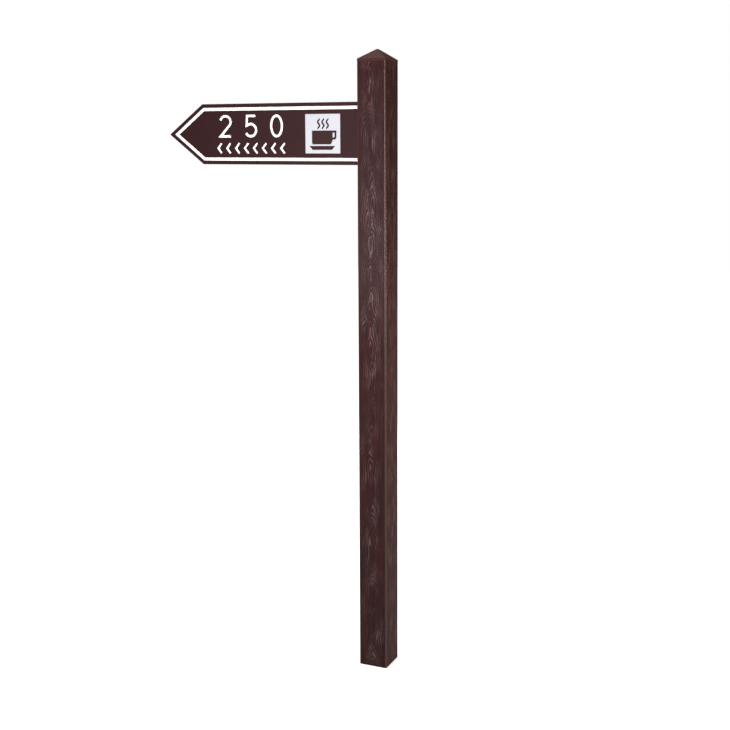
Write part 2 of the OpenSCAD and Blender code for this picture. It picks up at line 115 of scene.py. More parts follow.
def add_node(tree: Tree, kind: str, inputs: dict[int | str, Any] | None = None, **settings: Any) -> Node:
    """Adds a node to a shader or geometry tree, with its settings, values and links.

    Args:
        tree: Tree that gets the node.
        kind: Type name of the node.
        inputs: Value, socket or node for each input, by its number or name. A node
            stands for its first output.
        **settings: Properties of the node, such as operation.

    Returns:
        The new node.
    """
    made = tree.nodes.new(kind)
    for name, value in settings.items():
        setattr(made, name, value)
    for key, value in (inputs or {}).items():
        source = value.outputs[0] if isinstance(value, Node) else value
        if isinstance(source, Socket):
            tree.links.new(source, made.inputs[key])
        else:
            made.inputs[key].default_value = source
    return made


def open_material(name: str) -> tuple[Material, Tree, Socket]:
    """Starts a material.

    Args:
        name: Name of the material.

    Returns:
        The material, its empty tree and its Object coordinates.
    """
    made = bpy.data.materials.new(name)
    made.use_nodes = True
    made.node_tree.nodes.clear()
    return made, made.node_tree, add_node(made.node_tree, "ShaderNodeTexCoord").outputs["Object"]


def open_tree(name: str, inputs: dict[str, str]) -> tuple[Tree, dict[str, Socket]]:
    """Starts a Geometry Nodes tree.

    Args:
        name: Name of the tree.
        inputs: Kind of each input's socket, by the input's name.

    Returns:
        The tree and the socket of each input.
    """
    tree = bpy.data.node_groups.new(name, "GeometryNodeTree")
    for title, kind in inputs.items():
        tree.interface.new_socket(title, in_out="INPUT", socket_type=f"NodeSocket{kind}")
    tree.interface.new_socket("Shape", in_out="OUTPUT", socket_type="NodeSocketGeometry")
    given = add_node(tree, "NodeGroupInput")
    return tree, {title: given.outputs[title] for title in inputs}


def close_tree(tree: Tree, shape: Node, finish: Socket) -> Tree:
    """Ends a Geometry Nodes tree in real shapes with their material.

    Args:
        tree: Tree that ends.
        shape: Its last node.
        finish: Input that brings the material.

    Returns:
        The same tree.
    """
    real = add_node(tree, "GeometryNodeRealizeInstances", {0: shape})
    dressed = add_node(tree, "GeometryNodeSetMaterial", {0: real, "Material": finish})
    add_node(tree, "NodeGroupOutput", {0: dressed})
    return tree


def put_on(tree: Tree, piece: Piece, values: dict[str, Any]) -> None:
    """Puts a Geometry Nodes tree on a piece, and sets its inputs by their sockets.

    Args:
        tree: Tree that shapes the piece.
        piece: Object that brings the first input.
        values: Value of each other input, by its name.
    """
    modifier = piece.modifiers.new(tree.name, "NODES")
    modifier.node_group = tree
    for item in tree.interface.items_tree:
        if item.in_out == "INPUT" and item.name in values:
            modifier[item.identifier] = values[item.name]


def link_mesh(name: str, mesh: bpy.types.Mesh) -> Piece:
    """Puts a mesh into the scene as an object at the origin.

    Args:
        name: Name of the piece.
        mesh: Mesh with its place in its vertices.

    Returns:
        The new object.
    """
    piece = bpy.data.objects.new(name, mesh)
    bpy.context.scene.collection.objects.link(piece)
    return piece


def close_mesh(name: str, mesh: bmesh.types.BMesh, finish: Material | None = None) -> Piece:
    """Turns a finished mesh into an object at the origin, and frees it.

    Args:
        name: Name of the piece.
        mesh: Mesh with its place in its vertices.
        finish: Material of the piece.

    Returns:
        The new object.
    """
    data = bpy.data.meshes.new(name)
    mesh.to_mesh(data)
    mesh.free()
    if finish is not None:
        data.materials.append(finish)
    return link_mesh(name, data)


def merged_copy(node: str) -> bmesh.types.BMesh:
    """Copies a solid's mesh with its loose corners merged.

    Args:
        node: Name of the solid.

    Returns:
        The copy.
    """
    mesh = bmesh.new()
    mesh.from_mesh(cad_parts[node].data)
    bmesh.ops.remove_doubles(mesh, verts=mesh.verts, dist=SEAM)
    return mesh


def make_plain(piece: Piece, finish: Material | None = None) -> None:
    """Turns an object's modifiers into a plain mesh, and takes the modifiers away.

    Args:
        piece: Object with Geometry Nodes or other modifiers.
        finish: Only material of the result, in place of what the modifiers leave.
    """
    graph = bpy.context.evaluated_depsgraph_get()
    mesh = bpy.data.meshes.new_from_object(piece.evaluated_get(graph))
    piece.modifiers.clear()
    piece.data = mesh
    mesh.name = piece.name
    if finish is not None:
        mesh.materials.clear()
        mesh.materials.append(finish)


def shade(piece: Piece, sharp_degrees: float = 35.0, weighted: bool = True) -> None:
    """Shades a piece smooth, apart from edges sharper than an angle.

    Args:
        piece: Object with a plain mesh.
        sharp_degrees: Angle between faces from which an edge stays sharp.
        weighted: Lets large faces stay flat up to the rounded edges beside them.
    """
    piece.data.shade_smooth()
    piece.data.set_sharp_from_angle(angle=math.radians(sharp_degrees))
    if weighted:
        flattened = piece.modifiers.new("flat_faces", "WEIGHTED_NORMAL")
        flattened.keep_sharp = True
        make_plain(piece)


def hand_over(piece: Piece, nodes: Sequence[str] = ()) -> None:
    """Lets a finished piece ride on the sign, and hides the solids that it stands for.

    Args:
        piece: Finished object at the origin.
        nodes: Solids that the piece stands for.
    """
    if nodes:
        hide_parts(*nodes)
    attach(piece, BODY)
    log.info("%s: %d faces", piece.name, len(piece.data.polygons))


def dress(finish: Material, *nodes: str) -> None:
    """Gives solids that stay their material.

    Args:
        finish: Material.
        *nodes: Names of the solids.
    """
    for node in nodes:
        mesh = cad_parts[node].data
        mesh.materials.clear()
        mesh.materials.append(finish)
        log.info("%s: dressed with %s", node, finish.name)


def lathe(mesh: bmesh.types.BMesh, profile: Sequence[Point2], steps: int, place: Matrix) -> None:
    """Adds a turned shape to a mesh, closed on its axis at both ends.

    Args:
        mesh: Mesh that gets the shape.
        profile: Radius and height from the bottom up, without the points on the axis.
        steps: Number of steps round the axis.
        place: Turns and moves the shape from the Z axis to its place.
    """
    rings = []
    for radius, height in profile:
        ring = []
        for step in range(steps):
            angle = math.tau * step / steps
            point = Vector((radius * math.cos(angle), radius * math.sin(angle), height))
            ring.append(mesh.verts.new(place @ point))
        rings.append(ring)
    for low, high in zip(rings, rings[1:]):
        for step in range(steps):
            after = (step + 1) % steps
            mesh.faces.new((low[step], low[after], high[after], high[step]))
    mesh.faces.new(list(reversed(rings[0])))
    mesh.faces.new(rings[-1])


def facing_rear(x: float, y: float, z: float) -> Matrix:
    """Place of a turned shape whose +Z end looks out of the rear, along +Y."""
    return Matrix.Translation((x, y, z)) @ Matrix.Rotation(-math.pi / 2, 4, "X")


class Pattern(Enum):
    """Ways in which a surface was made, as the pattern that this leaves on it."""

    MOULDED = "moulded"
    DRAWN = "drawn"
    SPANGLED = "spangled"
    SPRAYED = "sprayed"
    FOAMED = "foamed"


@dataclass(frozen=True)
class Finish:
    """Finish of one kind of piece: its two colours, its gloss and its fine pattern.

    The pattern's size is given along X, Y and Z in millimetres. The painted top light
    is a lighter colour for faces that look up: light from above, painted into the colour.
    """

    name: str
    pattern: Pattern
    dark: str
    light: str
    size_mm: Point3
    roughness: Point2
    relief_mm: float
    metallic: float = 0.0
    ior: float = 1.5
    specular: float = 0.5
    cloud_mm: float = 60.0
    cloud_range: Point2 = (0.55, 1.45)
    glow: float = 0.0
    # Lighter colour for upward faces: painted top light
    painted_top_light: str = ""
    upward_range: Point2 = (0.3, 0.7)

    def material(self) -> Material:
        """Builds the finish as a material, once for all the pieces that share it.

        Returns:
            The material.
        """
        known = bpy.data.materials.get(self.name)
        if known is not None:
            return known
        made, tree, place = open_material(self.name)
        amount, height = self.fine_pattern(tree, place)
        low, high = self.roughness
        values = {
            "Base Color": self.colour(tree, place, amount),
            "Roughness": add_node(tree, RANGE, {"Value": amount, "To Min": high, "To Max": low}),
            "Normal": add_node(
                tree, BUMP, {"Height": height, "Strength": 1.0, "Distance": self.relief_mm * MM}
            ),
            "Metallic": self.metallic,
            "IOR": self.ior,
            "Specular IOR Level": self.specular,
            "Emission Strength": self.glow,
        }
        shader = add_node(tree, "ShaderNodeBsdfPrincipled", values)
        add_node(tree, "ShaderNodeOutputMaterial", {"Surface": shader})
        return made

    def fine_pattern(self, tree: Tree, place: Socket) -> tuple[Socket, Socket]:
        """Adds the pattern that the making of the surface left.

        Args:
            tree: The material's tree.
            place: Object coordinates.

        Returns:
            Sockets of the amount of the lighter colour and of the height, from 0 to 1.
        """
        scale = tuple(1 / (size * MM) for size in self.size_mm)
        sized = add_node(tree, "ShaderNodeMapping", {"Vector": place, "Scale": scale})
        fitted = {"Vector": sized, "Scale": 1.0}
        if self.pattern is Pattern.SPANGLED:
            cells = add_node(tree, "ShaderNodeTexVoronoi", fitted)
            grey = add_node(tree, "ShaderNodeRGBToBW", {0: cells.outputs["Color"]})
            return grey.outputs[0], cells.outputs["Distance"]
        if self.pattern is Pattern.FOAMED:
            cells = add_node(tree, "ShaderNodeTexVoronoi", fitted, feature="SMOOTH_F1")
            return cells.outputs["Distance"], cells.outputs["Distance"]
        detail = {Pattern.MOULDED: 3.0, Pattern.DRAWN: 5.0, Pattern.SPRAYED: 1.0}[self.pattern]
        noise = add_node(tree, NOISE, {**fitted, "Detail": detail}).outputs["Fac"]
        return noise, noise

    def colour(self, tree: Tree, place: Socket, amount: Socket) -> Socket:
        """Adds the colour: the fine pattern over soft clouds of the same two colours.

        Args:
            tree: The material's tree.
            place: Object coordinates.
            amount: Amount of the lighter colour in the fine pattern.

        Returns:
            Socket of the colour.
        """
        cloud = add_node(tree, NOISE, {"Vector": place, "Scale": 1 / (self.cloud_mm * MM), "Detail": 2.0})
        both = add_node(tree, MATH, {0: cloud.outputs["Fac"], 1: amount}, operation="ADD")
        low, high = self.cloud_range
        share = add_node(tree, RANGE, {"Value": both, "From Min": low, "From Max": high})
        values = {0: share, 6: linear(self.dark), 7: linear(self.light)}
        mixed = add_node(tree, MIX, values, data_type="RGBA").outputs[2]
        # Upward faces mix towards a lighter colour: painted top light
        if not self.painted_top_light:
            return mixed
        facing = add_node(tree, "ShaderNodeNewGeometry").outputs["True Normal"]
        upward = add_node(tree, SPLIT_XYZ, {0: facing}).outputs["Z"]
        low, high = self.upward_range
        top_light_share = add_node(tree, RANGE, {"Value": upward, "From Min": low, "From Max": high})
        values = {0: top_light_share, 6: mixed, 7: linear(self.painted_top_light)}
        return add_node(tree, MIX, values, data_type="RGBA").outputs[2]


# Powder coating on aluminium: a satin brown skin with a faint orange peel
POWDER_COAT = Finish(
    "powder_coated_aluminium", Pattern.SPRAYED, "#271314", "#2c1718",
    (1.6, 1.6, 1.6), (0.46, 0.54), 0.03, specular=0.09,
)
# Cast vinyl film: smooth, white and a little glossy
WHITE_FILM = Finish(
    "white_vinyl_film", Pattern.SPRAYED, "#f4f3f4", "#fafafa",
    (4.0, 4.0, 4.0), (0.3, 0.36), 0.008, cloud_mm=90.0,
)
# Reflective sheeting of the figure's square: beads under a clear layer, a cooler white
REFLECTIVE_SHEET = Finish(
    "reflective_sheeting", Pattern.SPRAYED, "#a4a9b0", "#abb1b7",
    (0.6, 0.6, 0.6), (0.5, 0.58), 0.01, specular=0.2, cloud_mm=90.0,
)
# Translucent brown ink on the film, which looks like the coating with less peel
BROWN_INK = Finish(
    "brown_screen_ink", Pattern.SPRAYED, "#281313", "#2c1616",
    (3.0, 3.0, 3.0), (0.42, 0.48), 0.008, specular=0.12, cloud_mm=90.0,
)
# Moulded ASA cap: a warm brown with its mould's fine spark texture, and painted top light on upward faces
MOULDED_CAP = Finish(
    "moulded_asa_plastic", Pattern.MOULDED, "#2e1716", "#361c1a",
    (1.2, 1.2, 1.2), (0.5, 0.62), 0.04, specular=0.12, painted_top_light="#3b1b12",
)
# Brown lacquer on screw and rivet heads: brushed on at the end, glossier than coating
LACQUER = Finish(
    "brown_lacquer_on_metal", Pattern.SPRAYED, "#33211f", "#3f2b28",
    (0.8, 0.8, 0.8), (0.34, 0.44), 0.015, cloud_mm=15.0,
)
# Hot-dip galvanised steel: flat crystals of differing greys, a few millimetres wide
GALVANISED = Finish(
    "galvanised_steel", Pattern.SPANGLED, "#84898c", "#b4b9bb",
    (7.0, 7.0, 9.0), (0.34, 0.52), 0.03, metallic=1.0,
)
# Zinc plated fasteners: a bright thin skin over fine turning marks
ZINC_PLATED = Finish(
    "zinc_plated_steel", Pattern.DRAWN, "#a9adb0", "#c9cccd",
    (0.5, 6.0, 0.5), (0.24, 0.36), 0.01, metallic=1.0,
)
# Extruded aluminium as it leaves the die, with faint lines along its length
MILL_ALUMINIUM = Finish(
    "mill_aluminium", Pattern.DRAWN, "#b2b5b8", "#cfd1d3",
    (30.0, 0.7, 0.7), (0.26, 0.4), 0.012, metallic=1.0,
)
# Glass-filled nylon: a dull black with a fine moulded grain
BLACK_NYLON = Finish(
    "moulded_nylon", Pattern.MOULDED, "#191919", "#272727",
    (0.9, 0.9, 0.9), (0.5, 0.68), 0.05, specular=0.4,
)
# EPDM gasket: soft black rubber with a fine skin of closed pores
RUBBER = Finish(
    "epdm_rubber", Pattern.FOAMED, "#161616", "#222120",
    (0.7, 0.7, 0.7), (0.62, 0.8), 0.06, specular=0.3,
)
# Acrylic foam tape: a dull grey, cut edges open-celled
FOAM_TAPE = Finish(
    "acrylic_foam_tape", Pattern.FOAMED, "#4a4b4f", "#5d5e63",
    (0.5, 0.5, 0.5), (0.66, 0.85), 0.05, specular=0.3,
)
# Flush plugs moulded in the sleeve's brown
BROWN_PLUG = Finish(
    "moulded_brown_plug", Pattern.MOULDED, "#2f1c1a", "#3a2521",
    (1.0, 1.0, 1.0), (0.5, 0.62), 0.04, specular=0.15,
)
# Matt paper floor of the studio
PAPER = Finish(
    "studio_paper", Pattern.MOULDED, "#f4ece6", "#faf3ee",
    (6.0, 6.0, 6.0), (0.85, 0.95), 0.02, specular=0.1, glow=0.5,
)


@dataclass(frozen=True)
class NoiseLayer:
    """One layer of noise in the grain: its size across and along the post, in mm."""

    across_mm: float
    along_mm: float
    detail: float


@dataclass(frozen=True)
class Ramp:
    """Straight change of a share: from which value to which, and from what to what."""

    start: float
    end: float
    first: float
    last: float


@dataclass(frozen=True)
class GrainField:
    """Rule of the embossed grain, shared by the sleeve's shape and by its finish.

    Growth rings round a tilted axis meet a flat face in nested arches. On the front
    and rear the axis lies behind the middle of the face, so the arches stand upright
    in a column. On the two sides it lies beyond the face, which leaves long streaks.
    A pair of values is for the front and rear, and for the sides.
    """

    ring_mm: Point2 = (3.7, 5.5)
    rise_mm: Point2 = (19.0, 60.0)
    centre_mm: Point2 = (0.0, 66.0)
    swell_rings: Point2 = (17.0, 8.0)
    waver_rings: Point2 = (4.6, 2.0)
    outer_share: Point2 = (0.34, 0.7)
    round_mm: float = 4.0
    drift_mm: float = 46.0
    column_mm: Point2 = (9.0, 36.0)
    side_key: float = 31.3
    way_key: float = 17.7
    drift: NoiseLayer = NoiseLayer(1e6, 210.0, 1.0)
    swell: NoiseLayer = NoiseLayer(1e6, 130.0, 1.0)
    waver: NoiseLayer = NoiseLayer(16.0, 52.0, 2.0)
    fleck: NoiseLayer = NoiseLayer(6.0, 26.0, 1.0)
    patch: NoiseLayer = NoiseLayer(22.0, 70.0, 1.0)
    sharpness: Ramp = Ramp(-0.14, 0.16, 4.0, 1.0)
    broken: Ramp = Ramp(-0.13, 0.13, 0.4, 1.0)
    worn: Ramp = Ramp(-0.15, 0.12, 0.1, 1.0)
    margin: Ramp = Ramp(37.5, 43.5, 1.0, 0.0)
    flat: Ramp = Ramp(43.5, 46.5, 1.0, 0.0)

    def build(self, tree: Tree, position: Any) -> tuple[Node, Node, Node]:
        """Adds the nodes of the rule to a shader or geometry tree.

        Args:
            tree: Tree that gets the nodes.
            position: Node or socket of the place in metres, in the object's own frame.

        Returns:
            Node of the height, from 0 on the plain skin to 1 on top of a ridge, node
            that is 1 on the two sides and 0 on the front and rear, and node that is 1
            on the flat faces and 0 on the rounded edges.
        """
        in_mm = add_node(tree, VECTOR_MATH, {0: position, "Scale": 1 / MM}, operation="SCALE")
        x, y, z = add_node(tree, SPLIT_XYZ, {0: in_mm}).outputs
        far_x, far_y = (add_node(tree, MATH, {0: axis}, operation="ABSOLUTE") for axis in (x, y))
        side = add_node(tree, MATH, {0: far_x, 1: far_y}, operation="GREATER_THAN")
        across = add_node(tree, MIX, {0: side, 2: x, 3: y})
        outward = add_node(tree, MIX, {0: side, 2: y, 3: x})
        way = add_node(tree, MATH, {0: outward}, operation="SIGN")
        side_key = add_node(tree, MATH, {0: side, 1: self.side_key}, operation="MULTIPLY")
        key = add_node(tree, MATH, {0: way, 1: self.way_key, 2: side_key}, operation="MULTIPLY_ADD")
        spot = add_node(tree, JOIN_XYZ, {0: across, 1: key, 2: z})
        noise = {}
        for name in ("drift", "swell", "waver", "fleck", "patch"):
            layer = getattr(self, name)
            size = (1 / layer.across_mm, 1.0, 1 / layer.along_mm)
            sized = add_node(tree, VECTOR_MATH, {0: spot, 1: size}, operation="MULTIPLY")
            drawn = add_node(tree, NOISE, {"Vector": sized, "Scale": 1.0, "Detail": layer.detail})
            noise[name] = add_node(tree, MATH, {0: drawn, 1: 0.5}, operation="SUBTRACT")
        chosen = {}
        for name in ("centre_mm", "ring_mm", "rise_mm", "swell_rings", "waver_rings", "outer_share"):
            on_front, on_side = getattr(self, name)
            chosen[name] = add_node(tree, MIX, {0: side, 2: on_front, 3: on_side})
        placed = {0: noise["drift"], 1: self.drift_mm, 2: chosen["centre_mm"]}
        axis = add_node(tree, MATH, placed, operation="MULTIPLY_ADD")
        offset = add_node(tree, MATH, {0: across, 1: axis}, operation="SUBTRACT")
        rounded = {0: offset, 1: offset, 2: self.round_mm**2}
        squared = add_node(tree, MATH, rounded, operation="MULTIPLY_ADD")
        radius = add_node(tree, MATH, {0: squared}, operation="SQRT")
        rings = add_node(tree, MATH, {0: radius, 1: chosen["ring_mm"]}, operation="DIVIDE")
        climb = add_node(tree, MATH, {0: z, 1: chosen["rise_mm"]}, operation="DIVIDE")
        phase = add_node(tree, MATH, {0: rings, 1: climb}, operation="ADD")
        for name in ("swell", "waver"):
            bent = {0: noise[name], 1: chosen[f"{name}_rings"], 2: phase}
            phase = add_node(tree, MATH, bent, operation="MULTIPLY_ADD")
        reach = add_node(tree, MATH, {0: across}, operation="ABSOLUTE")
        shares = {}
        for name, value in (
            ("sharpness", noise["patch"]),
            ("broken", noise["fleck"]),
            ("worn", noise["patch"]),
            ("margin", reach),
            ("flat", reach),
        ):
            ramp = getattr(self, name)
            values = {0: value, 1: ramp.start, 2: ramp.end, 3: ramp.first, 4: ramp.last}
            shares[name] = add_node(tree, RANGE, values)
        near, far = self.column_mm
        shares["column"] = add_node(
            tree, RANGE, {0: radius, 1: near, 2: far, 3: 1.0, 4: chosen["outer_share"]}
        )
        saw = add_node(tree, MATH, {0: phase, 1: 1.0}, operation="PINGPONG")
        height = add_node(tree, MATH, {0: saw, 1: shares["sharpness"]}, operation="POWER")
        for name in ("broken", "worn", "column", "margin"):
            height = add_node(tree, MATH, {0: height, 1: shares[name]}, operation="MULTIPLY")
        return height, side, shares["flat"]


@dataclass(frozen=True)
class WoodPlastic:
    """Extruded wood-plastic with an embossed grain: brown, dull, with pale ridges.

    The wood flour gives it streaks of red and grey along the length and short fine
    pores. The embossing roll leaves the front and rear smoother than the sides, and
    the ridges smoother than the skin. The ridges are paler than the skin: partly the
    grain's own tone, partly a painted highlight on their crests. The rounded edges
    take a lighter, redder colour as a painted highlight.
    """

    name: str = "embossed_wood_plastic"
    skin: str = "#271316"
    # Ridge colours, paler than the skin: the grain's own tone plus a painted highlight on the crests
    ridge: str = "#492c2a"
    side_ridge: str = "#63463b"
    # Lighter, redder colour of the rounded edges: a painted highlight
    painted_edge_highlight: str = "#351c17"
    red_streak: str = "#3b1f19"
    grey_streak: str = "#211a18"
    streak_mm: Point3 = (7.0, 17.0, 240.0)
    streak_range: Point2 = (0.41, 0.59)
    streak_share: Point2 = (0.34, 0.36)
    pore_mm: Point3 = (0.9, 0.9, 9.0)
    roughness: Point2 = (0.18, 0.24)
    specular: Point2 = (0.045, 0.5)
    side_roughness: float = 0.5
    side_specular: Point2 = (0.02, 0.07)
    edge_roughness: float = 0.36
    edge_specular: float = 0.23
    relief_mm: float = 0.2
    pore_relief_mm: float = 0.06

    def material(self, grain: GrainField) -> Material:
        """Builds the finish over the same rule of grain as the sleeve's shape.

        Args:
            grain: Rule of the grain.

        Returns:
            The material.
        """
        made, tree, place = open_material(self.name)
        height, side, flat = grain.build(tree, place)
        noise = {}
        for name, size in (("streak", self.streak_mm), ("pore", self.pore_mm)):
            scale = tuple(1 / (length * MM) for length in size)
            fitted = add_node(tree, "ShaderNodeMapping", {"Vector": place, "Scale": scale})
            noise[name] = add_node(tree, NOISE, {"Vector": fitted, "Scale": 1.0, "Detail": 2.0})
        low, high = self.streak_range
        tone = add_node(tree, RANGE, {0: noise["streak"], 1: low, 2: high})
        on_front, on_side = self.streak_share
        share = add_node(tree, MIX, {0: side, 2: on_front, 3: on_side})
        tints = {}
        for name in ("skin", "ridge", "side_ridge", "painted_edge_highlight", "red_streak", "grey_streak"):
            tints[name] = linear(getattr(self, name))
        # Height mixes the skin towards the paler ridge colours, which hold a painted highlight on the
        # crests
        for name, amount, under, over in (
            ("any_ridge", side, "ridge", "side_ridge"),
            ("grained", height, "skin", "any_ridge"),
            ("streak", tone, "red_streak", "grey_streak"),
            ("streaked", share, "grained", "streak"),
            # Rounded edges take the painted edge highlight
            ("whole", flat, "painted_edge_highlight", "streaked"),
        ):
            values = {0: amount, 6: tints[under], 7: tints[over]}
            tints[name] = add_node(tree, MIX, values, data_type="RGBA").outputs[2]
        low, high = self.roughness
        pressed = add_node(tree, RANGE, {0: height, 3: high, 4: low})
        glints = []
        for low, high in (self.specular, self.side_specular):
            glints.append(add_node(tree, RANGE, {0: height, 3: low, 4: high}))
        gloss = {}
        for name, on_front, on_side, on_edge in (
            ("Roughness", pressed, self.side_roughness, self.edge_roughness),
            ("Specular IOR Level", *glints, self.edge_specular),
        ):
            faces = add_node(tree, MIX, {0: side, 2: on_front, 3: on_side})
            gloss[name] = add_node(tree, MIX, {0: flat, 2: on_edge, 3: faces})
        pores = add_node(tree, MATH, {0: noise["pore"], 1: flat}, operation="MULTIPLY")
        normal = {}
        for surface, depth in ((height, self.relief_mm), (pores, self.pore_relief_mm)):
            values = {"Height": surface, "Strength": 1.0, "Distance": depth * MM, **normal}
            normal = {"Normal": add_node(tree, BUMP, values)}
        values = {"Base Color": tints["whole"], **gloss, **normal}
        shader = add_node(tree, "ShaderNodeBsdfPrincipled", values)
        add_node(tree, "ShaderNodeOutputMaterial", {"Surface": shader})
        return made


@dataclass
class PostSleeve:
    """Hollow wood-plastic sleeve with its grain in relief, cut for slot, screws and plugs.

    A point of the skin counts as outside, and is pressed in by the grain, beyond the
    outside share of half the post's width. Cutters reach past the faces that they cut.
    """

    wall: float = 0.010
    edge_radius: float = 0.005
    cavity_radius: float = 0.003
    relief: float = 0.0004
    row: float = 0.005
    front_cells: int = 60
    side_cells: int = 40
    arc_cells: int = 5
    outside_share: float = 0.9
    slot_size: Point3 = (0.030, 0.007, 0.121)
    plug_radius: float = 0.011
    lip_radius: float = 0.0132
    lip_depth: float = 0.002
    screw_radius: float = 0.0026
    head_radius: float = 0.0047
    hole_steps: int = 24
    seat_steps: int = 64
    sharp_degrees: float = 40.0
    past: float = 0.001
    cap_screw_x: float = 0.020
    cap_screw_z: float = 1.982
    collar_screw_x: float = 0.015

    def ring(self, half: float, radius: float, z: float) -> list[Vector]:
        """Gives one section of the sleeve, counter-clockwise from above.

        Args:
            half: Half the width of the section.
            radius: Radius of its corners.
            z: Level of the section.

        Returns:
            Points of the section, as many for the cavity as for the outside.
        """
        points = []
        flat = half - radius
        for quarter in range(4):
            turn = Matrix.Rotation(quarter * math.pi / 2, 3, "Z")
            cells = self.side_cells if quarter % 2 == 0 else self.front_cells
            for step in range(cells):
                points.append(turn @ Vector((half, -flat + 2 * flat * step / cells, z)))
            for step in range(self.arc_cells):
                angle = math.pi / 2 * step / self.arc_cells
                x = flat + radius * math.cos(angle)
                y = flat + radius * math.sin(angle)
                points.append(turn @ Vector((x, y, z)))
        return points

    def shell(self, half: float, length: float) -> bpy.types.Mesh:
        """Builds the plain sleeve: outside, two rims and cavity, as one closed skin.

        Args:
            half: Half the width of the post.
            length: Length of the sleeve.

        Returns:
            The mesh.
        """
        rows = round(length / self.row)
        sections = [self.ring(half, self.edge_radius, length * row / rows) for row in range(rows + 1)]
        for level in (length, 0.0):
            sections.append(self.ring(half - self.wall, self.cavity_radius, level))
        around = len(sections[0])
        vertices = [tuple(point) for section in sections for point in section]
        faces = []
        for row in range(len(sections)):
            low = row * around
            high = (row + 1) % len(sections) * around
            for step in range(around):
                after = (step + 1) % around
                faces.append((low + step, low + after, high + after, high + step))
        mesh = bpy.data.meshes.new("post_sleeve_shell")
        mesh.from_pydata(vertices, [], faces)
        return mesh

    def screw_places(self) -> list[Point2]:
        """Finds the screws in the rear of the sleeve.

        Returns:
            X and Z of each screw.
        """
        places = [(side * self.cap_screw_x, self.cap_screw_z) for side in (-1, 1)]
        for collar in ("lower_spacer", "middle_spacer", "upper_spacer", "top_spacer"):
            low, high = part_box(collar)
            places += [(side * self.collar_screw_x, (low.z + high.z) / 2) for side in (-1, 1)]
        return places

    def cutters(self, half: float) -> Piece:
        """Builds what is cut out of the sleeve: slot, countersinks and plug seats.

        Args:
            half: Half the width of the post.

        Returns:
            Object with one closed shape for each cut.
        """
        mesh = bmesh.new()
        low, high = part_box("board_tongue")
        slot = Matrix.Translation((-half, 0, (low.z + high.z) / 2)) @ Matrix.Diagonal((*self.slot_size, 1))
        bmesh.ops.create_cube(mesh, size=1.0, matrix=slot)
        hole = [
            (self.screw_radius, -self.wall - self.past),
            (self.screw_radius, self.screw_radius - self.head_radius),
            (self.head_radius, 0.0),
            (self.head_radius, self.past),
        ]
        for x, z in self.screw_places():
            lathe(mesh, hole, self.hole_steps, facing_rear(x, half, z))
        seat = [
            (self.plug_radius, -self.wall - self.past),
            (self.plug_radius, -self.lip_depth),
            (self.lip_radius, -self.lip_depth),
            (self.lip_radius, self.past),
        ]
        low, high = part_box("access_plugs")
        rim = (high.x - low.x) / 2
        for z in (low.z + rim, high.z - rim):
            lathe(mesh, seat, self.seat_steps, facing_rear(0.0, half, z))
        bmesh.ops.recalc_face_normals(mesh, faces=mesh.faces)
        return close_mesh("sleeve_cutters", mesh)

    def relief_tree(self, grain: GrainField) -> Tree:
        """Builds the Geometry Nodes tree that presses the grain into the outside.

        Args:
            grain: Rule of the grain.

        Returns:
            The tree, with inputs Relief, Half and Finish.
        """
        kinds = {"Sleeve": "Geometry", "Relief": "Float", "Half": "Float", "Finish": "Material"}
        tree, given = open_tree("grain_relief", kinds)
        place = add_node(tree, "GeometryNodeInputPosition")
        height, side, _ = grain.build(tree, place)
        x, y, _ = add_node(tree, SPLIT_XYZ, {0: place}).outputs
        far_x, far_y = (add_node(tree, MATH, {0: axis}, operation="ABSOLUTE") for axis in (x, y))
        way_x, way_y = (add_node(tree, MATH, {0: axis}, operation="SIGN") for axis in (x, y))
        farther = add_node(tree, MATH, {0: far_x, 1: far_y}, operation="MAXIMUM")
        inner = add_node(tree, MATH, {0: given["Half"], 1: self.outside_share}, operation="MULTIPLY")
        outside = add_node(tree, MATH, {0: farther, 1: inner}, operation="GREATER_THAN")
        inward = add_node(tree, MATH, {0: 1.0, 1: height}, operation="SUBTRACT")
        for share in (outside, given["Relief"], -1.0):
            inward = add_node(tree, MATH, {0: inward, 1: share}, operation="MULTIPLY")
        on_side = add_node(tree, JOIN_XYZ, {0: way_x})
        on_front = add_node(tree, JOIN_XYZ, {1: way_y})
        outward = add_node(tree, MIX, {0: side, 4: on_front, 5: on_side}, data_type="VECTOR").outputs[1]
        shift = add_node(tree, VECTOR_MATH, {0: outward, "Scale": inward}, operation="SCALE")
        moved = add_node(tree, "GeometryNodeSetPosition", {0: given["Sleeve"], "Offset": shift})
        return close_tree(tree, moved, given["Finish"])

    def build(self, grain: GrainField, finish: Material) -> None:
        """Builds and dresses the sleeve, and puts it in place of its solid.

        Args:
            grain: Rule of the grain.
            finish: Material of the sleeve.
        """
        low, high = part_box("post_sleeve")
        half = (high.x - low.x) / 2
        piece = link_mesh("grained_sleeve", self.shell(half, high.z - low.z))
        values = {"Relief": self.relief, "Half": half, "Finish": finish}
        put_on(self.relief_tree(grain), piece, values)
        cutters = self.cutters(half)
        cut = piece.modifiers.new("cuts", "BOOLEAN")
        cut.object = cutters
        cut.operation = "DIFFERENCE"
        cut.solver = "MANIFOLD"
        make_plain(piece, finish)
        bpy.data.objects.remove(cutters)
        shade(piece, self.sharp_degrees, weighted=False)
        hand_over(piece, ["post_sleeve"])


